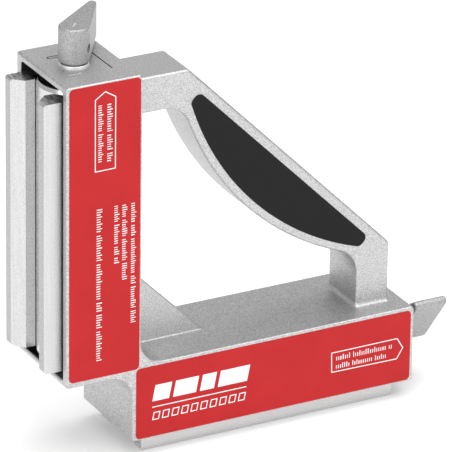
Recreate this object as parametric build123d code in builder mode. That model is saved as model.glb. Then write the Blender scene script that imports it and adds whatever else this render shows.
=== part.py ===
from build123d import *

import math
import os

os.makedirs("parts", exist_ok=True)

# Driving dimensions, in millimetres. Each arm is described in its own coordinates:
# "deep" runs from the channel mouth into the arm, "across" over its thickness, "along" to its tip.

# The L-shaped casting.
thickness = 38.0
reach = 136.6
arm_width = 28.6
arm_start = 25.5
corner_radius = 9.0
edge_radius = 0.6
end_edge_radius = 1.0
join_depth = 5.0

# The open channel in each arm.
channel_depth = 25.8
channel_width = 32.4
channel_start = 27.6
channel_end = 134.0
channel_corner = 1.5
mouth_chamfer = 0.35

# The pole shoes.
shoe_out = 6.4
shoe_start = 30.9
shoe_end = 130.4
shoe_outer = 15.1
shoe_flat = 4.1
shoe_bevel = 3.9
shoe_step_deep = 4.0
shoe_edge = 0.4
shoe_end_radius = 1.0

# The rotor and its bearings.
axis_deep = 12.2
rotor_radius = 12.8
rotor_gap = 0.4
rotor_wall = 0.8
rotor_start = 29.9
rotor_end = 131.6
rotor_lip = 0.2
rotor_lip_length = 1.3
cap_recess = 1.6
cap_length = 4.6
cap_step_radius = 9.1
cap_step = 1.0
magnet_half_width = 8.5
spindle_radius = 3.5
tail_radius = 2.5
running_gap = 0.05
bushing_radius = 5.2
bushing_proud = 0.9
bushing_rim = 0.3
bushing_flange_radius = 7.4
bushing_flange = 1.0
tail_bushing_radius = 4.6
tail_wall = 0.7
tail_bushing_floor = 0.4
tail_gap = 0.2

# The end stops of the switch travel, which is twice the knob's rest angle.
stop_pin_radius = 1.0
stop_pin_circle = 10.4
stop_pin_tip = 0.4
stop_pin_seat = 1.2
stop_lug_angle = 16.0
stop_clearance_angle = 15.2
stop_lug_reach = 11.7

# The switch knob.
knob_foot = 138.0
knob_top = 150.7
knob_radius = 5.4
knob_tip_radius = 1.6
knob_tip_distance = 22.0
knob_rest_angle = 47.5
knob_edge = 0.7
spindle_end = 147.0
pin_along = 143.0
pin_radius = 1.6
pin_half_length = 4.4

# The handle, cast in one with the arms.
handle_thickness = 20.0
handle_outer = 131.0
handle_bar = 13.0
handle_slope = 182.0
handle_inner_slope = 149.6
handle_inner_radius = 104.0
handle_pocket_radius = 10.5
handle_corner_radius = 2.0
handle_edge_radius = 1.0
handle_root_radius = 1.5

# The rubber inlays in the handle's faces.
inlay_slope = 177.1
inlay_inner_band = 2.9
inlay_half_length = 47.6
inlay_corner_radius = 2.3
inlay_pocket = 1.2
inlay_proud = 0.4
inlay_edge = 0.35

# The rib in the inner corner.
rib_slope = 90.0
rib_thickness = 4.4
rib_edge_radius = 0.6
rib_root_radius = 0.6

# The labels on the front faces.
label_thickness = 0.15
label_width = 26.9
label_length = 108.6
label_corner = 1.6
label_middle_upright = (14.45, 81.8)
label_middle_base = (81.05, 14.0)

# The screws that hold the pole shoes.
screw_radius = 2.0
screw_head_radius = 3.8
screw_head_angle = 90.0
screw_length = 7.5
screw_deep = 20.0
screw_spacing = 30.0
screw_count = 3
socket_sides = 6
socket_radius = 1.45
socket_depth = 1.4

# The grooves that mark the switch positions, on the arms' ends and on the knobs.
mark_width = 0.5
mark_depth = 0.25
mark_across = 8.4
mark_line_deep = 22.1
mark_line_half = 9.0
mark_stroke_deep = 8.5
mark_stroke_length = 4.8
mark_ring_width = 2.0
knob_mark_length = 3.4

# The groove of the ring-shaped mark is as wide as the other marks.
mark_ring_inner_length = mark_stroke_length - 2 * mark_width
mark_ring_inner_width = mark_ring_width - 2 * mark_width

# Tolerances for picking out edges and corners by where they are.
tolerance = 0.01
margin = 1.0

# The origin is below the middle of the whole object, on the plane of the base arm's pole faces.
corner = Vector((shoe_out - knob_top) / 2, label_thickness / 2, shoe_out)
side_view = Plane(origin=corner, x_dir=(1, 0, 0), z_dir=(0, -1, 0))
arm_planes = {
    "upright": Plane(origin=corner, x_dir=(1, 0, 0), z_dir=(0, 0, 1)),
    "base": Plane(origin=corner, x_dir=(0, 0, 1), z_dir=(1, 0, 0)),
}
front_sign = {"upright": -1, "base": 1}

half_thickness = thickness / 2
half_handle = handle_thickness / 2
channel_length = channel_end - channel_start
shoe_middle = (shoe_start + shoe_end) / 2
pocket_radius = rotor_radius + rotor_gap
bore_radius = rotor_radius - rotor_wall
root_two = math.sqrt(2)
screw_head_slope = math.tan(math.radians(screw_head_angle / 2))
screw_head_height = (screw_head_radius - screw_radius) / screw_head_slope


def finish(builder, name):
    """Label a finished piece and write it to its own file."""
    builder.part.label = name
    export_step(builder.part, f"parts/{name}.step")


def mouth_plane(arm):
    """Plane of an arm's channel mouth: x along the arm, normal into the arm."""
    return Plane(origin=arm.origin, x_dir=arm.z_dir, z_dir=arm.x_dir)


def screw_planes(arm, side):
    """One plane at each screw head on a side face of an arm, facing outwards."""
    first = shoe_middle - screw_spacing * (screw_count - 1) / 2
    return [
        Plane(
            origin=arm.from_local_coords((screw_deep, side * half_thickness, first + index * screw_spacing)),
            x_dir=arm.z_dir,
            z_dir=arm.y_dir * side,
        )
        for index in range(screw_count)
    ]


def half_section_plane(arm):
    """Plane through the rotor's axis: x outwards from the axis, y along the arm."""
    return Plane(
        origin=arm.from_local_coords((axis_deep, 0, 0)),
        x_dir=arm.x_dir,
        z_dir=-arm.y_dir,
    )


def pin_plane(arm):
    """Plane through the knob's axis and along its lever, square to its cross pin."""
    lever_turn = math.radians(knob_rest_angle)
    return Plane(
        origin=arm.from_local_coords((axis_deep, 0, pin_along)),
        x_dir=arm.z_dir,
        z_dir=arm.x_dir * math.sin(lever_turn) - arm.y_dir * math.cos(lever_turn),
    )


def is_handle_root(place):
    """Whether an edge's centre lies where the handle meets the outside of an arm."""
    deep, along = sorted((place.X, place.Z))
    beside_bar = inner_bar - margin < along < handle_outer + margin
    in_handle = abs(place.Y) < half_handle + margin
    return abs(deep - arm_width) < tolerance and beside_bar and in_handle


def is_rib_edge(place):
    """Whether an edge's centre lies on a long edge of the rib's slope."""
    on_slope = abs(place.X + place.Z - rib_slope) < tolerance
    return on_slope and abs(abs(place.Y) - rib_thickness / 2) < tolerance


def is_rib_root(place):
    """Whether an edge's centre lies where the rib's sides meet the inside of an arm."""
    deep, along = sorted((place.X, place.Z))
    beside_rib = arm_width + corner_radius < along < rib_slope - arm_width
    on_side = abs(abs(place.Y) - rib_thickness / 2) < tolerance
    return abs(deep - arm_width) < tolerance and beside_rib and on_side


def diagonal_point(across_diagonal, along_diagonal):
    """Side-view point from its place across and along the handle's diagonal."""
    return (
        (along_diagonal + across_diagonal) / root_two,
        (along_diagonal - across_diagonal) / root_two,
    )


# Where the blind bore of the tail bushing ends, and where the tail pin does.
tail_bore_end = arm_start + tail_wall
tail_pin_end = tail_bore_end + tail_bushing_floor + tail_gap

# Where the stop pins stand, and where their free ends are.
stop_angle = math.radians(knob_rest_angle + stop_clearance_angle)
stop_pin_places = [
    (axis_deep + stop_pin_circle * math.cos(stop_angle), turn * stop_pin_circle * math.sin(stop_angle))
    for turn in (-1, 1)
]
stop_pin_low = rotor_end - cap_recess - cap_step + stop_pin_tip

# Distances along the line that halves the right angle, from the corner.
inner_arc_top = handle_inner_slope / root_two
inner_arc_centre = inner_arc_top + handle_inner_radius
inlay_radius = handle_inner_radius - inlay_inner_band
inlay_edge_line = inlay_slope / root_two
inner_bar = handle_outer - handle_bar
arc_centre = inner_arc_centre / root_two
arc_meets_bar = arc_centre - math.sqrt(handle_inner_radius**2 - (arc_centre - inner_bar) ** 2)
bar_root = arm_width - join_depth
inlay_arc_drop = math.sqrt(inlay_radius**2 - inlay_half_length**2)


def inlay_outline(plane):
    """Sketch of a grip inlay: a straight back, two ends and an arc beside the fingers."""
    with BuildSketch(plane) as outline:
        with BuildLine():
            back = Line(
                diagonal_point(-inlay_half_length, inlay_edge_line),
                diagonal_point(inlay_half_length, inlay_edge_line),
            )
            lower_end = diagonal_point(inlay_half_length, inner_arc_centre - inlay_arc_drop)
            upper_end = diagonal_point(-inlay_half_length, inner_arc_centre - inlay_arc_drop)
            Line(back @ 1, lower_end)
            ThreePointArc(lower_end, diagonal_point(0, inner_arc_centre - inlay_radius), upper_end)
            Line(upper_end, back @ 0)
        make_face()
        fillet(outline.vertices(), radius=inlay_corner_radius)
    return outline.sketch


# Casting: the handle first, because its edges are rounded before the arms join it.
with BuildPart() as handle:
    with BuildSketch(side_view) as handle_outline:
        with BuildLine():
            Polyline(
                (bar_root, handle_outer),
                (handle_slope - handle_outer, handle_outer),
                (handle_outer, handle_slope - handle_outer),
                (handle_outer, bar_root),
                (inner_bar, bar_root),
                (inner_bar, arc_meets_bar),
            )
            inner = ThreePointArc(
                (inner_bar, arc_meets_bar),
                diagonal_point(0, inner_arc_top),
                (arc_meets_bar, inner_bar),
            )
            Polyline(inner @ 1, (bar_root, inner_bar), (bar_root, handle_outer))
        make_face()
        pocket_corners = handle_outline.vertices().filter_by(
            lambda v: abs(v.X + v.Y - arc_meets_bar - inner_bar) < tolerance
        )
        fillet(pocket_corners, radius=handle_pocket_radius)
        slope_corners = handle_outline.vertices().filter_by(
            lambda v: abs(v.X + v.Y - handle_slope) < tolerance
        )
        fillet(slope_corners, radius=handle_corner_radius)
    extrude(amount=half_handle, both=True)
    fillet(handle.faces().filter_by(Axis.Y).edges(), radius=handle_edge_radius)
    for side in (-1, 1):
        extrude(
            inlay_outline(side_view.offset(side * half_handle)),
            amount=-side * inlay_pocket,
            mode=Mode.SUBTRACT,
        )

# The arms, with the handle and the rib joined to them and the channels cut in.
with BuildPart() as housing:
    with BuildSketch(side_view) as arms_outline:
        with BuildLine():
            Polyline(
                (0, arm_start),
                (0, reach),
                (arm_width, reach),
                (arm_width, arm_width),
                (reach, arm_width),
                (reach, 0),
                (arm_start, 0),
                (arm_start, arm_start),
                close=True,
            )
        make_face()
        concave = arms_outline.vertices().filter_by(
            lambda v: abs(v.X - v.Y) < tolerance
        )
        fillet(concave, radius=corner_radius)
        convex = arms_outline.vertices().filter_by(
            lambda v: max(v.X, v.Y) > reach - margin or min(v.X, v.Y) < tolerance
        )
        fillet(convex, radius=end_edge_radius)
    extrude(amount=half_thickness, both=True)
    fillet(housing.faces().filter_by(Axis.Y).edges(), radius=edge_radius)

    add(handle.part)
    roots = [
        edge
        for edge in housing.edges()
        if is_handle_root(edge.center() - corner)
    ]
    fillet(roots, radius=handle_root_radius)

    with BuildSketch(side_view):
        with BuildLine():
            Polyline(
                (bar_root, bar_root),
                (bar_root, rib_slope - bar_root),
                (rib_slope - bar_root, bar_root),
                close=True,
            )
        make_face()
    extrude(amount=rib_thickness / 2, both=True)
    slope_edges = [edge for edge in housing.edges() if is_rib_edge(edge.center() - corner)]
    fillet(slope_edges, radius=rib_edge_radius)
    root_edges = [edge for edge in housing.edges() if is_rib_root(edge.center() - corner)]
    fillet(root_edges, radius=rib_root_radius)

    for arm in arm_planes.values():
        with BuildSketch(mouth_plane(arm)):
            with Locations(((channel_start + channel_end) / 2, 0)):
                RectangleRounded(channel_length, channel_width, channel_corner)
        extrude(amount=channel_depth, mode=Mode.SUBTRACT)
        outermost = housing.faces().filter_by(mouth_plane(arm)).sort_by(Axis(arm.origin, arm.x_dir))
        chamfer(outermost[0].inner_wires()[0].edges(), length=mouth_chamfer)
        with BuildSketch(arm.offset(tail_bore_end)):
            with Locations((axis_deep, 0)):
                Circle(tail_bushing_radius)
        extrude(amount=channel_start - tail_bore_end, mode=Mode.SUBTRACT)
        with BuildSketch(arm.offset(channel_end)):
            with Locations((axis_deep, 0)):
                Circle(bushing_radius)
        extrude(amount=reach - channel_end, mode=Mode.SUBTRACT)
        with BuildSketch(arm.offset(channel_end)):
            with Locations(*stop_pin_places):
                Circle(stop_pin_radius)
        extrude(amount=stop_pin_seat, mode=Mode.SUBTRACT)
        with BuildSketch(arm.offset(reach)):
            with Locations((mark_line_deep, 0)):
                Rectangle(mark_width, 2 * mark_line_half)
            with Locations((mark_stroke_deep, -mark_across)):
                Rectangle(mark_stroke_length, mark_width)
            with Locations((mark_stroke_deep, mark_across)):
                SlotOverall(mark_stroke_length, mark_ring_width)
                SlotOverall(mark_ring_inner_length, mark_ring_inner_width, mode=Mode.SUBTRACT)
        extrude(amount=-mark_depth, mode=Mode.SUBTRACT)
        for side in (-1, 1):
            with Locations(*screw_planes(arm, side)):
                CounterSinkHole(
                    radius=screw_radius,
                    counter_sink_radius=screw_head_radius,
                    counter_sink_angle=screw_head_angle,
                    depth=half_thickness - shoe_outer,
                )

finish(housing, "housing")

# Rubber inlays, one in each face of the handle, standing a little proud of it.
for place, side in (("front", 1), ("rear", -1)):
    with BuildPart() as grip_inlay:
        extrude(
            inlay_outline(side_view.offset(side * (half_handle - inlay_pocket))),
            amount=side * (inlay_pocket + inlay_proud),
        )
        outer_face = grip_inlay.faces().sort_by(Axis.Y)[0 if side > 0 else -1]
        fillet(outer_face.edges(), radius=inlay_edge)
    finish(grip_inlay, f"grip_inlay_{place}")

# Labels on the front faces of both arms: the same size, one upright and one lying down.
label_layout = {"upright": (label_middle_upright, 0), "base": (label_middle_base, 90)}
for arm_name, (middle, turn) in label_layout.items():
    with BuildPart() as label:
        with BuildSketch(side_view.offset(half_thickness)):
            with Locations(middle):
                RectangleRounded(label_width, label_length, label_corner, rotation=turn)
        extrude(amount=label_thickness)
    finish(label, f"label_{arm_name}")


def shoe_section(plane, side):
    """Section of a pole shoe: outer side, working flat, bevel and the hollow round the rotor."""
    flat_inner = shoe_outer - shoe_flat
    throat = flat_inner - shoe_bevel
    throat_reach = math.sqrt(pocket_radius**2 - throat**2)
    with BuildSketch(plane) as section:
        with BuildLine():
            Polyline(
                (axis_deep + throat_reach, side * throat),
                (channel_depth, side * throat),
                (channel_depth, side * channel_width / 2),
                (shoe_step_deep, side * channel_width / 2),
                (shoe_step_deep, side * shoe_outer),
                (-shoe_out + shoe_edge, side * shoe_outer),
                (-shoe_out, side * (shoe_outer - shoe_edge)),
                (-shoe_out, side * flat_inner),
                (-shoe_out + shoe_bevel, side * throat),
                (axis_deep - throat_reach, side * throat),
            )
            ThreePointArc(
                (axis_deep - throat_reach, side * throat),
                (axis_deep, side * pocket_radius),
                (axis_deep + throat_reach, side * throat),
            )
        make_face()
    return section.sketch


# Everything that sits in an arm's channel, made alike for both arms.
for arm_name, arm in arm_planes.items():
    for side in (-1, 1):
        place = "front" if side == front_sign[arm_name] else "rear"
        with BuildPart() as pole_shoe:
            extrude(shoe_section(arm.offset(shoe_start), side), amount=shoe_end - shoe_start)
            flat_ends = pole_shoe.edges().filter_by(Axis.Y).sort_by(Axis(arm.origin, arm.x_dir))[:2]
            fillet(flat_ends, radius=shoe_end_radius)
            for head in screw_planes(arm, side):
                with BuildSketch(head.offset(-screw_length)):
                    Circle(screw_radius)
                extrude(amount=screw_length, mode=Mode.SUBTRACT)
        finish(pole_shoe, f"pole_shoe_{arm_name}_{place}")

    with BuildPart() as shoe_screws:
        for side in (-1, 1):
            for head in screw_planes(arm, side):
                with Locations(head):
                    Cone(
                        screw_radius,
                        screw_head_radius,
                        screw_head_height,
                        align=(Align.CENTER, Align.CENTER, Align.MAX),
                    )
                    Cylinder(screw_radius, screw_length, align=(Align.CENTER, Align.CENTER, Align.MAX))
                with BuildSketch(head):
                    RegularPolygon(socket_radius, socket_sides)
                extrude(amount=-socket_depth, mode=Mode.SUBTRACT)
    finish(shoe_screws, f"shoe_screws_{arm_name}")

    with BuildPart() as knob_bushing:
        with BuildSketch(arm.offset(channel_end)):
            with Locations((axis_deep, 0)):
                Circle(bushing_radius)
        extrude(amount=reach - channel_end + bushing_proud)
        rim = knob_bushing.edges().sort_by(Axis(arm.origin, arm.z_dir))[-1]
        fillet(rim, radius=bushing_rim)
        with BuildSketch(arm.offset(channel_end - bushing_flange)):
            with Locations((axis_deep, 0)):
                Circle(bushing_flange_radius)
        extrude(amount=bushing_flange)
        with BuildSketch(arm.offset(channel_end - bushing_flange)):
            with Locations((axis_deep, 0)):
                Circle(spindle_radius + running_gap)
        extrude(amount=reach, mode=Mode.SUBTRACT)
    finish(knob_bushing, f"knob_bushing_{arm_name}")

    with BuildPart() as tail_bushing:
        with BuildSketch(arm.offset(tail_bore_end)):
            with Locations((axis_deep, 0)):
                Circle(tail_bushing_radius)
        extrude(amount=channel_start - tail_bore_end)
        with BuildSketch(arm.offset(channel_start)):
            with Locations((axis_deep, 0)):
                Circle(bushing_flange_radius)
        extrude(amount=bushing_flange)
        with BuildSketch(arm.offset(tail_bore_end + tail_bushing_floor)):
            with Locations((axis_deep, 0)):
                Circle(tail_radius + running_gap)
        extrude(amount=reach, mode=Mode.SUBTRACT)
    finish(tail_bushing, f"tail_bushing_{arm_name}")

    # Two pins in the end wall stop the lug on the drive cap at each end of the travel.
    with BuildPart() as stop_pins:
        with BuildSketch(arm.offset(stop_pin_low)):
            with Locations(*stop_pin_places):
                Circle(stop_pin_radius)
        extrude(amount=channel_end + stop_pin_seat - stop_pin_low)
    finish(stop_pins, f"stop_pins_{arm_name}")

    with BuildPart() as rotor_sleeve:
        with BuildSketch(half_section_plane(arm)):
            Polygon(
                (bore_radius, rotor_start),
                (bore_radius + rotor_lip, rotor_start),
                (rotor_radius, rotor_start + rotor_lip_length),
                (rotor_radius, rotor_end - rotor_lip_length),
                (bore_radius + rotor_lip, rotor_end),
                (bore_radius, rotor_end),
                align=None,
            )
        revolve(axis=Axis(arm.from_local_coords((axis_deep, 0, 0)), arm.z_dir))
    finish(rotor_sleeve, f"rotor_sleeve_{arm_name}")

    cap_top = rotor_end - cap_recess
    cap_bottom = cap_top - cap_length
    tail_cap_bottom = rotor_start + cap_recess
    tail_cap_top = tail_cap_bottom + cap_length

    with BuildPart() as rotor_magnet:
        with BuildSketch(arm.offset(tail_cap_top)):
            with Locations((axis_deep, 0)):
                Circle(bore_radius)
                Rectangle(2 * bore_radius, 2 * magnet_half_width, rotation=knob_rest_angle, mode=Mode.INTERSECT)
        extrude(amount=cap_bottom - tail_cap_top)
    finish(rotor_magnet, f"rotor_magnet_{arm_name}")

    with BuildPart() as drive_spindle:
        with BuildSketch(arm.offset(cap_bottom)):
            with Locations((axis_deep, 0)):
                Circle(bore_radius)
        extrude(amount=cap_length - cap_step)
        with BuildSketch(arm.offset(cap_top - cap_step)):
            with Locations((axis_deep, 0)):
                Circle(cap_step_radius)
            with BuildLine():
                half_lug = math.radians(stop_lug_angle / 2)
                rest_turn = math.radians(knob_rest_angle)
                lug_points = [
                    (
                        axis_deep + stop_lug_reach * math.cos(rest_turn + turn * half_lug),
                        stop_lug_reach * math.sin(rest_turn + turn * half_lug),
                    )
                    for turn in (-1, 1)
                ]
                Polyline((axis_deep, 0), *lug_points, close=True)
            make_face()
        extrude(amount=cap_step)
        with BuildSketch(arm.offset(cap_top)):
            with Locations((axis_deep, 0)):
                Circle(spindle_radius)
        extrude(amount=spindle_end - cap_top)
        with BuildSketch(pin_plane(arm)):
            Circle(pin_radius)
        extrude(amount=knob_radius, both=True, mode=Mode.SUBTRACT)
    finish(drive_spindle, f"drive_spindle_{arm_name}")

    with BuildPart() as tail_cap:
        with BuildSketch(arm.offset(tail_cap_bottom)):
            with Locations((axis_deep, 0)):
                Circle(bore_radius)
        extrude(amount=cap_length)
        with BuildSketch(arm.offset(tail_pin_end)):
            with Locations((axis_deep, 0)):
                Circle(tail_radius)
        extrude(amount=tail_cap_bottom - tail_pin_end)
    finish(tail_cap, f"tail_cap_{arm_name}")

    lever_turn = math.radians(knob_rest_angle)
    tip_place = (
        axis_deep + knob_tip_distance * math.cos(lever_turn),
        knob_tip_distance * math.sin(lever_turn),
    )
    with BuildPart() as switch_knob:
        with BuildSketch(arm.offset(knob_foot)):
            with Locations((axis_deep, 0)):
                Circle(knob_radius)
            with Locations(tip_place):
                Circle(knob_tip_radius)
            make_hull()
        extrude(amount=knob_top - knob_foot)
        ends = switch_knob.faces().filter_by(arm)
        fillet(ends.edges(), radius=knob_edge)
        with BuildSketch(arm.offset(knob_foot)):
            with Locations((axis_deep, 0)):
                Circle(spindle_radius)
        extrude(amount=spindle_end - knob_foot, mode=Mode.SUBTRACT)
        with BuildSketch(pin_plane(arm)):
            Circle(pin_radius)
        extrude(amount=2 * knob_radius, both=True, mode=Mode.SUBTRACT)
        with BuildSketch(arm.offset(knob_top)):
            with Locations((axis_deep, 0)):
                Rectangle(knob_mark_length, mark_width, rotation=knob_rest_angle)
        extrude(amount=-mark_depth, mode=Mode.SUBTRACT)
    finish(switch_knob, f"switch_knob_{arm_name}")

    with BuildPart() as knob_pin:
        with BuildSketch(pin_plane(arm)):
            Circle(pin_radius)
        extrude(amount=pin_half_length, both=True)
    finish(knob_pin, f"knob_pin_{arm_name}")
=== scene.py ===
import math
import random

import bmesh
import bpy
from mathutils import Matrix, Vector


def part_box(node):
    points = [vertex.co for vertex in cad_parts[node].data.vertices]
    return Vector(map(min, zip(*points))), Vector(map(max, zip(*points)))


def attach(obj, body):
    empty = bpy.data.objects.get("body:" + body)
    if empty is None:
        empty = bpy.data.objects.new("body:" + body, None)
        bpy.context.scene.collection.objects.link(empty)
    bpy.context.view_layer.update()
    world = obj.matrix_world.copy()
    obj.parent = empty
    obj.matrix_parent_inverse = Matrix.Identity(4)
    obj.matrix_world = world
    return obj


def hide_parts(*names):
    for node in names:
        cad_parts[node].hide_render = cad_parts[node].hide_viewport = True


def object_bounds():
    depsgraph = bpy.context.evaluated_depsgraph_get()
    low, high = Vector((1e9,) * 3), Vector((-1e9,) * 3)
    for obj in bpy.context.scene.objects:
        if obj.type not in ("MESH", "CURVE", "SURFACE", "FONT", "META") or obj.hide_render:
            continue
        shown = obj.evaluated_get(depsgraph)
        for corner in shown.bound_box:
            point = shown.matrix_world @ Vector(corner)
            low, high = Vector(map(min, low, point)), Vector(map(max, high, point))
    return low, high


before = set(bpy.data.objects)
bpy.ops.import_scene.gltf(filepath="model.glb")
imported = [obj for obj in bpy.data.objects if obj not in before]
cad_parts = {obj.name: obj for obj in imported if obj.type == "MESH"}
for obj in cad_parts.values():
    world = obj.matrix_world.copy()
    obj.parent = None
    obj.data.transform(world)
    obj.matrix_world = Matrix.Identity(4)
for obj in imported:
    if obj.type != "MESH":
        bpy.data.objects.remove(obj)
cad_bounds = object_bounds()

MM = 0.001
ARMS = ("upright", "base")

# Marks are coloured from just under their surface down to past their floor.
MARK_TOP = 0.1 * MM
MARK_FLOOR = 0.35 * MM

# The outer corner of the L, where both arms' mouth planes meet, seen from the front.
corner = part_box("housing")[0]
label_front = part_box("label_upright")[0].y
label_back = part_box("label_upright")[1].y
print_thickness = 0.03 * MM
print_back = label_front + print_thickness


def on_front(across_mm, up_mm, y):
    """A point on a plane parallel to the front, from its place in millimetres past the L's corner."""
    return Vector((corner.x + across_mm * MM, y, corner.z + up_mm * MM))


# ---------------------------------------------------------------------------
# Camera and lights
# ---------------------------------------------------------------------------

def make_camera():
    """A long lens, from the left of the front and from above, with a slight roll."""
    azimuth = math.radians(-28.308)
    elevation = math.radians(24.151)
    roll = math.radians(0.796)
    distance = 1.8917
    aim_offset = Vector((-2.07, -1.99, -6.10)) * MM
    low, high = (Vector(p) for p in cad_bounds)
    aim = (low + high) / 2 + aim_offset
    look = Vector((
        -math.sin(azimuth) * math.cos(elevation),
        math.cos(azimuth) * math.cos(elevation),
        -math.sin(elevation),
    ))
    level_right = look.cross(Vector((0, 0, 1))).normalized()
    level_up = level_right.cross(look)
    right = math.cos(roll) * level_right + math.sin(roll) * level_up
    up = math.cos(roll) * level_up - math.sin(roll) * level_right
    data = bpy.data.cameras.new("camera")
    data.sensor_width = 36.0
    data.lens = 435.25
    camera = bpy.data.objects.new("camera", data)
    camera.matrix_world = Matrix.Translation(aim - distance * look) @ Matrix(
        (right, up, -look)
    ).transposed().to_4x4()
    bpy.context.scene.collection.objects.link(camera)
    bpy.context.scene.camera = camera


def area_light(name, place, target, size, power):
    """A square softbox that faces its target."""
    data = bpy.data.lights.new(name, "AREA")
    data.shape = "SQUARE"
    data.size = size
    data.energy = power
    light = bpy.data.objects.new(name, data)
    direction = Vector(target) - Vector(place)
    light.matrix_world = Matrix.Translation(place) @ direction.to_track_quat("-Z", "Y").to_matrix().to_4x4()
    bpy.context.scene.collection.objects.link(light)


def make_studio():
    """A white floor under a grey room, a softbox overhead and one on each side of the camera."""
    middle = (0, 0, 0.07)
    area_light("softbox_top", (0.1, -0.25, 1.5), middle, 1.8, 24)
    area_light("softbox_left", (-1.3, -0.8, 0.6), middle, 0.9, 6.4)
    area_light("softbox_front", (0.4, -1.6, 0.7), middle, 1.2, 4.2)
    world = bpy.data.worlds.new("room")
    world.use_nodes = True
    background = world.node_tree.nodes["Background"]
    background.inputs["Color"].default_value = (0.58, 0.58, 0.58, 1)
    background.inputs["Strength"].default_value = 1.0
    bpy.context.scene.world = world
    bpy.context.scene.view_settings.view_transform = "Standard"

    mesh = bpy.data.meshes.new("floor")
    half = 3.0
    corners = [(-half, -half, 0), (half, -half, 0), (half, half, 0), (-half, half, 0)]
    mesh.from_pydata(corners, [], [(0, 1, 2, 3)])
    floor = bpy.data.objects.new("floor", mesh)
    bpy.context.scene.collection.objects.link(floor)
    material = bpy.data.materials.new("floor")
    material.use_nodes = True
    shader = material.node_tree.nodes["Principled BSDF"]
    shader.inputs["Base Color"].default_value = (0.83, 0.83, 0.83, 1)
    shader.inputs["Roughness"].default_value = 0.9
    shader.inputs["Specular IOR Level"].default_value = 0.1
    shader.inputs["Emission Color"].default_value = (1, 1, 1, 1)
    shader.inputs["Emission Strength"].default_value = 0.18
    mesh.materials.append(material)


# ---------------------------------------------------------------------------
# Materials
# ---------------------------------------------------------------------------

class Shading:
    """A node material whose textures follow the piece's own coordinates."""

    def __init__(self, name, metallic, roughness):
        self.material = bpy.data.materials.new(name)
        self.material.use_nodes = True
        tree = self.material.node_tree
        self.nodes = tree.nodes
        self.links = tree.links
        self.shader = self.nodes["Principled BSDF"]
        self.shader.inputs["Metallic"].default_value = metallic
        self.shader.inputs["Roughness"].default_value = roughness
        self.coordinates = self.nodes.new("ShaderNodeTexCoord")

    def noise(self, scale, detail=2.0, stretch=(1, 1, 1)):
        """Noise with scale grains to the metre, longer along an axis where stretch is under 1."""
        mapping = self.nodes.new("ShaderNodeMapping")
        mapping.inputs["Scale"].default_value = stretch
        texture = self.nodes.new("ShaderNodeTexNoise")
        texture.inputs["Scale"].default_value = scale
        texture.inputs["Detail"].default_value = detail
        self.links.new(self.coordinates.outputs["Object"], mapping.inputs["Vector"])
        self.links.new(mapping.outputs["Vector"], texture.inputs["Vector"])
        return texture.outputs["Fac"]

    def ramp(self, value, low, high, start=0.3, end=0.7):
        """A colour between low and high as value goes from start to end."""
        ramp = self.nodes.new("ShaderNodeValToRGB")
        ramp.color_ramp.elements[0].position = start
        ramp.color_ramp.elements[1].position = end
        ramp.color_ramp.elements[0].color = (*low, 1)
        ramp.color_ramp.elements[1].color = (*high, 1)
        self.links.new(value, ramp.inputs["Fac"])
        return ramp.outputs["Color"]

    def span(self, value, low, high, start=0.3, end=0.7):
        """A number between low and high as value goes from start to end."""
        node = self.nodes.new("ShaderNodeMapRange")
        node.inputs["From Min"].default_value = start
        node.inputs["From Max"].default_value = end
        node.inputs["To Min"].default_value = low
        node.inputs["To Max"].default_value = high
        self.links.new(value, node.inputs["Value"])
        return node.outputs["Result"]

    def mix(self, factor, first, second):
        """A mix of two colours."""
        node = self.nodes.new("ShaderNodeMix")
        node.data_type = "RGBA"
        self.links.new(factor, node.inputs["Factor"])
        for name, colour in (("A", first), ("B", second)):
            socket = next(s for s in node.inputs if s.name == name and s.type == "RGBA")
            if isinstance(colour, tuple):
                socket.default_value = (*colour, 1)
            else:
                self.links.new(colour, socket)
        return next(s for s in node.outputs if s.type == "RGBA")

    def math(self, operation, first, second=None):
        """One step of arithmetic on numbers or sockets."""
        node = self.nodes.new("ShaderNodeMath")
        node.operation = operation
        for index, value in enumerate((first, second)):
            if value is None:
                continue
            if isinstance(value, (int, float)):
                node.inputs[index].default_value = value
            else:
                self.links.new(value, node.inputs[index])
        return node.outputs["Value"]

    def place(self):
        """The three object coordinates as numbers."""
        node = self.nodes.new("ShaderNodeSeparateXYZ")
        self.links.new(self.coordinates.outputs["Object"], node.inputs["Vector"])
        return node.outputs["X"], node.outputs["Y"], node.outputs["Z"]

    def facing(self, direction, start=0.8, end=0.95):
        """Near one where the surface faces along direction, either way, and nought elsewhere."""
        node = self.nodes.new("ShaderNodeVectorMath")
        node.operation = "DOT_PRODUCT"
        node.inputs[1].default_value = direction
        self.links.new(self.coordinates.outputs["Normal"], node.inputs[0])
        return self.span(self.math("ABSOLUTE", node.outputs["Value"]), 0, 1, start, end)

    def within(self, low, high):
        """One inside a box and nought outside it."""
        inside = None
        for axis, socket in enumerate(self.place()):
            offset = self.math("SUBTRACT", socket, (low[axis] + high[axis]) / 2)
            near = self.math("LESS_THAN", self.math("ABSOLUTE", offset), (high[axis] - low[axis]) / 2)
            inside = near if inside is None else self.math("MULTIPLY", inside, near)
        return inside

    def colour(self, socket):
        """Takes the base colour from a socket."""
        self.links.new(socket, self.shader.inputs["Base Color"])

    def roughness(self, socket):
        """Takes the roughness from a socket."""
        self.links.new(socket, self.shader.inputs["Roughness"])

    def bump(self, height, depth, strength=1.0):
        """Bumps as deep as depth, in metres."""
        node = self.nodes.new("ShaderNodeBump")
        node.inputs["Strength"].default_value = strength
        node.inputs["Distance"].default_value = depth
        self.links.new(height, node.inputs["Height"])
        self.links.new(node.outputs["Normal"], self.shader.inputs["Normal"])


def grey(level):
    """A neutral grey."""
    return (level, level, level)


def unit(axis):
    """The unit vector along an axis."""
    return tuple(1.0 if index == axis else 0.0 for index in range(3))


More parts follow.
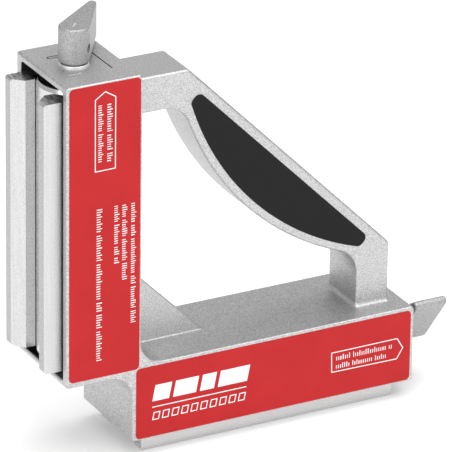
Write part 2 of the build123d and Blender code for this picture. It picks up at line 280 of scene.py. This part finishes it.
def blasted_metal(look, base, contrast, depth, roughness):
    """Bead-blasted aluminium: specks of two sizes over faint clouds. Gives its colour."""
    grain = look.noise(2300, 1.0)
    fine = look.noise(4600, 1.0)
    mottle = look.noise(70, 3.0)
    speck = look.math("ADD", look.math("MULTIPLY", grain, 0.6), look.math("MULTIPLY", fine, 0.4))
    tone = look.ramp(speck, grey(base * (1 - contrast)), grey(base * (1 + contrast)), 0.38, 0.62)
    cloud = look.ramp(mottle, grey(base * 0.93), grey(base * 1.05))
    look.roughness(look.span(fine, *roughness))
    look.bump(speck, depth, 0.8)
    return look.mix(look.span(mottle, 0.15, 0.35, 0.3, 0.7), tone, cloud)


def channel_box(arm):
    """The channel of an arm, a little inside its mouth, from the pieces that fill it."""
    lip = 0.5 * MM
    wall_gap = 0.1 * MM
    end_gap = 1.1 * MM
    front_low, front_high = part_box(f"pole_shoe_{arm}_front")
    rear_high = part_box(f"pole_shoe_{arm}_rear")[1]
    knob_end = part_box(f"knob_bushing_{arm}")[0]
    tail_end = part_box(f"tail_bushing_{arm}")[1]
    half_width = (rear_high.y - front_low.y) / 2 + wall_gap
    middle = (rear_high.y + front_low.y) / 2
    low = Vector((corner.x + lip, middle - half_width, corner.z + lip))
    high = Vector((front_high.x + wall_gap, middle + half_width, front_high.z + wall_gap))
    along = 2 if arm == "upright" else 0
    low[along] = tail_end[along] - end_gap
    high[along] = knob_end[along] + end_gap
    return low, high


def end_box(arm, deep, across):
    """A thin layer just under an arm's end face, between two depths and two places over the thickness."""
    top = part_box("housing")[1]
    if arm == "upright":
        low = Vector((corner.x + deep[0] * MM, across[0] * MM, top.z - MARK_FLOOR))
        high = Vector((corner.x + deep[1] * MM, across[1] * MM, top.z - MARK_TOP))
    else:
        low = Vector((top.x - MARK_FLOOR, across[0] * MM, corner.z + deep[0] * MM))
        high = Vector((top.x - MARK_TOP, across[1] * MM, corner.z + deep[1] * MM))
    return low, high


def cast_aluminium():
    """The casting: bead-blasted outside, with painted shade in its channels and the grooves of its dark
    marks, and a painted highlight in its stroke marks.
    """
    mark_deep = (5.0, 12.0)
    minus_side = (-10.5, -6.5)
    plus_side = (6.5, 10.5)
    line_deep = (21.5, 22.7)
    line_across = (-9.5, 9.5)
    look = Shading("cast_aluminium", metallic=1.0, roughness=0.45)
    outside = blasted_metal(look, 0.54, 0.36, 0.08 * MM, (0.36, 0.54))
    # Painted shade: the channels and the dark mark grooves are coloured near black, standing in for the
    # shade deep inside them.
    painted_shade = look.ramp(look.noise(400, 3.0), grey(0.04), grey(0.13))
    shade_mask = look.math("MAXIMUM", look.within(*channel_box("upright")), look.within(*channel_box("base")))
    for arm, ring_side in (("upright", plus_side), ("base", minus_side)):
        shade_mask = look.math("MAXIMUM", shade_mask, look.within(*end_box(arm, mark_deep, ring_side)))
        shade_mask = look.math("MAXIMUM", shade_mask, look.within(*end_box(arm, line_deep, line_across)))
    # Painted highlight: these stroke marks are coloured near white, as if they were catching the light.
    bright = look.math(
        "MAXIMUM",
        look.within(*end_box("upright", mark_deep, minus_side)),
        look.within(*end_box("base", mark_deep, plus_side)),
    )
    painted_highlight = look.ramp(look.noise(1500, 2.0), grey(0.80), grey(0.98))
    look.colour(look.mix(bright, look.mix(shade_mask, outside, painted_shade), painted_highlight))
    return look.material


def knob_metal():
    """The knobs: the casting's finish, a little coarser, with a painted highlight in the cut mark of their
    outer faces.
    """
    mark_reach = 2.2 * MM
    look = Shading("knob_aluminium", metallic=1.0, roughness=0.42)
    outside = blasted_metal(look, 0.42, 0.34, 0.09 * MM, (0.46, 0.62))
    bright = None
    for arm in ARMS:
        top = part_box(f"switch_knob_{arm}")[1]
        axis = sum(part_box(f"knob_bushing_{arm}"), Vector()) / 2
        reach = Vector((mark_reach, mark_reach, mark_reach))
        low, high = axis - reach, axis + reach
        end = 2 if arm == "upright" else 0
        low[end] = top[end] - MARK_FLOOR
        high[end] = top[end] - MARK_TOP
        cut = look.within(low, high)
        bright = cut if bright is None else look.math("MAXIMUM", bright, cut)
    # Painted highlight: the knobs' cut marks are coloured near white, as if they were catching the light.
    painted_highlight = look.ramp(look.noise(1500, 2.0), grey(0.80), grey(0.98))
    look.colour(look.mix(bright, outside, painted_highlight))
    return look.material


def machined_steel(name, along, outwards, sawn_and_lit_greys):
    """Pole shoe steel: bright and speckled, greyer on the ground working faces, sawn at its ends, with the
    ends' greys set per arm as painted light and shade.
    """
    look = Shading(name, metallic=1.0, roughness=0.3)
    drawn_out = tuple(0.03 if axis == along else 1 for axis in range(3))
    lines = look.noise(1500, 2.0, drawn_out)
    speck = look.noise(2600, 2.0)
    bright = look.ramp(speck, grey(0.50), grey(0.72), 0.35, 0.65)
    drawn = look.ramp(lines, grey(0.54), grey(0.66))
    sides = look.mix(look.span(lines, 0.3, 0.6), bright, drawn)
    ground = look.ramp(speck, grey(0.34), grey(0.52), 0.35, 0.65)
    worked = look.mix(look.facing(outwards), sides, ground)
    saw = look.noise(2200, 2.0, (1, 0.08, 1))
    sawn = look.ramp(saw, grey(sawn_and_lit_greys[0]), grey(sawn_and_lit_greys[1]), 0.36, 0.60)
    look.colour(look.mix(look.facing(unit(along)), worked, sawn))
    look.roughness(look.span(speck, 0.26, 0.42))
    look.bump(speck, 0.03 * MM, 0.5)
    return look.material


def turned_steel(name, base, roughness):
    """Turned or polished steel with faint marks, as bright as base."""
    look = Shading(name, metallic=1.0, roughness=roughness)
    marks = look.noise(900, 3.0)
    look.colour(look.ramp(marks, grey(base * 0.93), grey(base * 1.04)))
    look.roughness(look.span(marks, roughness * 0.85, roughness * 1.25))
    look.bump(marks, 0.003 * MM, 0.3)
    return look.material


def rubber():
    """Black rubber with a fine, matt grain."""
    look = Shading("grip_rubber", metallic=0.0, roughness=0.7)
    grain = look.noise(2400, 2.0)
    cloud = look.noise(90, 2.0)
    tone = look.ramp(grain, (0.003, 0.003, 0.003), (0.011, 0.011, 0.011))
    look.colour(look.mix(look.span(cloud, 0.0, 0.3), tone, (0.007, 0.007, 0.007)))
    look.shader.inputs["Specular IOR Level"].default_value = 0.25
    look.roughness(look.span(grain, 0.62, 0.8))
    look.bump(grain, 0.06 * MM, 0.7)
    return look.material


def label_film():
    """Red printed film with a soft gloss."""
    look = Shading("label_film", metallic=0.0, roughness=0.4)
    cloud = look.noise(60, 2.0)
    grain = look.noise(3000, 1.0)
    look.shader.inputs["Specular IOR Level"].default_value = 0.3
    look.colour(look.ramp(cloud, (0.44, 0.004, 0.006), (0.48, 0.007, 0.009)))
    look.roughness(look.span(grain, 0.36, 0.46))
    look.bump(grain, 0.01 * MM, 0.3)
    return look.material


def white_ink():
    """White print, a little uneven."""
    look = Shading("white_ink", metallic=0.0, roughness=0.5)
    cover = look.noise(1500, 2.0)
    look.colour(look.ramp(cover, (0.88, 0.85, 0.85), (0.93, 0.92, 0.92)))
    look.bump(cover, 0.005 * MM, 0.3)
    return look.material


# ---------------------------------------------------------------------------
# Meshes
# ---------------------------------------------------------------------------

def add_piece(name, mesh, material, body):
    """Shows a mesh as a piece that rides on a body."""
    mesh.materials.append(material)
    piece = bpy.data.objects.new(name, mesh)
    bpy.context.scene.collection.objects.link(piece)
    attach(piece, body)
    return piece


def inset(points, distance):
    """A convex outline moved inwards by distance. The outline runs anticlockwise."""
    moved = []
    count = len(points)
    for index in range(count):
        before, here, after = points[index - 1], points[index], points[(index + 1) % count]
        first = Vector((here[0] - before[0], here[1] - before[1])).normalized()
        second = Vector((after[0] - here[0], after[1] - here[1])).normalized()
        inward = Vector((-first.y - second.y, first.x + second.x)).normalized()
        share = inward.dot(Vector((-first.y, first.x)))
        moved.append((here[0] + inward.x * distance / share, here[1] + inward.y * distance / share))
    return moved


def rounded_rectangle(low, high, radius, steps=6):
    """An outline of a rectangle with round corners, anticlockwise, in millimetres past the L's corner."""
    points = []
    centres = (
        (high[0] - radius, low[1] + radius, -90),
        (high[0] - radius, high[1] - radius, 0),
        (low[0] + radius, high[1] - radius, 90),
        (low[0] + radius, low[1] + radius, 180),
    )
    for x, z, start in centres:
        for step in range(steps + 1):
            angle = math.radians(start + 90 * step / steps)
            points.append((x + radius * math.cos(angle), z + radius * math.sin(angle)))
    return points


def add_plate(mesh, outline, back, front, rim):
    """Adds a thin plate with a bevelled front rim to a bmesh."""
    loops = [
        [mesh.verts.new(on_front(x, z, back)) for x, z in outline],
        [mesh.verts.new(on_front(x, z, front + rim * MM)) for x, z in outline],
        [mesh.verts.new(on_front(x, z, front)) for x, z in inset(outline, rim)],
    ]
    count = len(outline)
    for lower, upper in zip(loops, loops[1:]):
        for index in range(count):
            following = (index + 1) % count
            mesh.faces.new((lower[index], lower[following], upper[following], upper[index]))
    mesh.faces.new(loops[-1])
    mesh.faces.new(list(reversed(loops[0])))


def add_band(mesh, outer, inner, back, front):
    """Adds a closed band between two outlines with the same number of points."""
    rings = [
        [mesh.verts.new(on_front(x, z, y)) for x, z in outline]
        for outline, y in ((outer, back), (outer, front), (inner, front), (inner, back))
    ]
    count = len(outer)
    for ring, following_ring in zip(rings, rings[1:] + rings[:1]):
        for index in range(count):
            following = (index + 1) % count
            mesh.faces.new((ring[index], ring[following], following_ring[following], following_ring[index]))


def finished_mesh(name, bm):
    """Turns a bmesh into a mesh with its normals outwards."""
    bmesh.ops.recalc_face_normals(bm, faces=bm.faces)
    mesh = bpy.data.meshes.new(name)
    bm.to_mesh(mesh)
    bm.free()
    return mesh


# ---------------------------------------------------------------------------
# Labels
# ---------------------------------------------------------------------------

# Everything on the labels is in millimetres past the L's corner.
CORNER_RADIUS = 1.6
FILM_RIM = 0.04
PRINT_RIM = 0.01
ARROW_LINE = 0.32

# An arrow frame points at each knob.
ARROWS = {
    "upright": [(14.4, 133.4), (10.5, 130.8), (10.55, 104.4), (18.45, 104.5), (18.45, 130.9)],
    "base": [(132.5, 13.6), (130.0, 17.7), (103.4, 17.6), (103.6, 9.8), (130.0, 9.5)],
}

# A row's start and end along the arm, its lower and upper edge across it, and the seed of its blocks.
WORD_ROWS = {
    "upright": (
        (128.5, 107.0, 15.2, 17.2, 11),
        (128.5, 107.5, 11.8, 13.7, 12),
        (90.4, 45.7, 24.4, 26.3, 13),
        (90.4, 62.5, 21.0, 22.9, 14),
        (90.6, 68.8, 18.0, 19.9, 15),
        (90.5, 33.8, 11.3, 13.4, 16),
    ),
    "base": (
        (105.5, 128.0, 14.2, 16.2, 21),
        (105.5, 126.0, 11.0, 12.9, 22),
    ),
}


def label_box(arm):
    """A label's lowest and highest corner, in millimetres past the L's corner."""
    low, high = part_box(f"label_{arm}")
    return (
        ((low.x - corner.x) / MM, (low.z - corner.z) / MM),
        ((high.x - corner.x) / MM, (high.z - corner.z) / MM),
    )


def make_label(arm, material):
    """A thin film with round corners, in place of the plain plate."""
    low, high = label_box(arm)
    outline = rounded_rectangle(low, high, CORNER_RADIUS)
    bm = bmesh.new()
    add_plate(bm, outline, label_back, print_back, FILM_RIM)
    mesh = finished_mesh(f"label_film_{arm}", bm)
    film = add_piece(f"label_film_{arm}", mesh, material, "frame")
    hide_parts(f"label_{arm}")


def turned(point, arm):
    """Swaps a point's two coordinates for the upright label, whose print runs downwards."""
    along, across = point
    return (across, along) if arm == "upright" else (along, across)


def anticlockwise(points):
    """The same outline, anticlockwise."""
    pairs = zip(points, points[1:] + points[:1])
    area = sum(a[0] * b[1] - b[0] * a[1] for a, b in pairs)
    return points if area > 0 else list(reversed(points))


def add_word_row(bm, arm, start, end, low, high, seed):
    """A row of small plain blocks in groups, some of them taller, along a label."""
    draw = random.Random(seed)
    height = high - low
    block = height * 0.15
    gap = height * 0.27
    group_gap = height * 0.4
    usual_top = low + height * 0.7
    tall_share = 0.3
    forward = 1 if end > start else -1
    place = start
    left_in_group = draw.randint(5, 14)
    while forward * (end - place) > block:
        if left_in_group == 0:
            place += forward * group_gap
            left_in_group = draw.randint(4, 16)
            continue
        width = block * draw.uniform(0.8, 1.3)
        top = high if draw.random() < tall_share else usual_top
        first, last = sorted((place, place + forward * width))
        points = [turned(p, arm) for p in ((first, low), (last, low), (last, top), (first, top))]
        add_plate(bm, anticlockwise(points), print_back, label_front, PRINT_RIM)
        place += forward * (width + gap)
        left_in_group -= 1


def make_print(arm, material):
    """A label's arrow frame and its rows of blocks."""
    bm = bmesh.new()
    arrow = anticlockwise(ARROWS[arm])
    add_band(bm, arrow, inset(arrow, ARROW_LINE), print_back, label_front)
    for start, end, low, high, seed in WORD_ROWS[arm]:
        add_word_row(bm, arm, start, end, low, high, seed)
    mesh = finished_mesh(f"label_print_{arm}", bm)
    add_piece(f"label_print_{arm}", mesh, material, "frame")


def make_emblem(material):
    """A plain emblem on the base label: four slanted blocks over a rule and a row of open blocks."""
    left = 33.0
    bm = bmesh.new()

    block_low, block_high, block_slant = 14.0, 20.0, 1.2
    for start, end in ((left, 39.5), (41.0, 50.0), (51.5, 57.0), (58.5, 70.0)):
        block = [
            (start, block_low),
            (end, block_low),
            (end + block_slant, block_high),
            (start + block_slant, block_high),
        ]
        add_plate(bm, block, print_back, label_front, PRINT_RIM)

    rule_end, rule_low, rule_high = 69.8, 11.6, 11.95
    rule = [(left, rule_low), (rule_end, rule_low), (rule_end, rule_high), (left, rule_high)]
    add_plate(bm, rule, print_back, label_front, PRINT_RIM)

    open_low, open_high, open_slant = 6.8, 9.8, 0.6
    open_width, open_line, pitch = 2.6, 0.34, 3.72
    for index in range(10):
        start = left + index * pitch
        outline = [
            (start, open_low),
            (start + open_width, open_low),
            (start + open_width + open_slant, open_high),
            (start + open_slant, open_high),
        ]
        add_band(bm, outline, inset(outline, open_line), print_back, label_front)

    mesh = finished_mesh("label_emblem_base", bm)
    add_piece("label_emblem_base", mesh, material, "frame")


# ---------------------------------------------------------------------------
# Assembly
# ---------------------------------------------------------------------------

def dress(node, material):
    """Gives a CAD node its material."""
    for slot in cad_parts[node].material_slots:
        slot.material = material


def dress_cad():
    """Gives every CAD node its material."""
    dress("housing", cast_aluminium())
    black = rubber()
    for side in ("front", "rear"):
        dress(f"grip_inlay_{side}", black)
    fastener = turned_steel("fastener_steel", 0.35, 0.35)
    pin = turned_steel("pin_steel", 0.06, 0.5)
    bushing = turned_steel("bushing_steel", 0.92, 0.42)
    skin = turned_steel("rotor_skin", 0.66, 0.24)
    spindle = turned_steel("spindle_steel", 0.60, 0.30)
    magnet = turned_steel("magnet_block", 0.25, 0.45)
    knob = knob_metal()
    # Painted light: the base's sawn ends get lighter greys than the upright's, though both are the same
    # steel.
    for arm, along, sawn_and_lit_greys in (("upright", 2, (0.16, 0.66)), ("base", 0, (0.42, 0.76))):
        steel = machined_steel(f"pole_steel_{arm}", along, unit(2 - along), sawn_and_lit_greys)
        for side in ("front", "rear"):
            dress(f"pole_shoe_{arm}_{side}", steel)
        dress(f"shoe_screws_{arm}", fastener)
        dress(f"stop_pins_{arm}", bushing)
        dress(f"knob_pin_{arm}", pin)
        dress(f"knob_bushing_{arm}", bushing)
        dress(f"tail_bushing_{arm}", bushing)
        dress(f"rotor_sleeve_{arm}", skin)
        dress(f"rotor_magnet_{arm}", magnet)
        dress(f"drive_spindle_{arm}", spindle)
        dress(f"tail_cap_{arm}", spindle)
        dress(f"switch_knob_{arm}", knob)


make_camera()
make_studio()
dress_cad()
film = label_film()
for arm in ARMS:
    make_label(arm, film)
ink = white_ink()
for arm in ARMS:
    make_print(arm, ink)
make_emblem(ink)
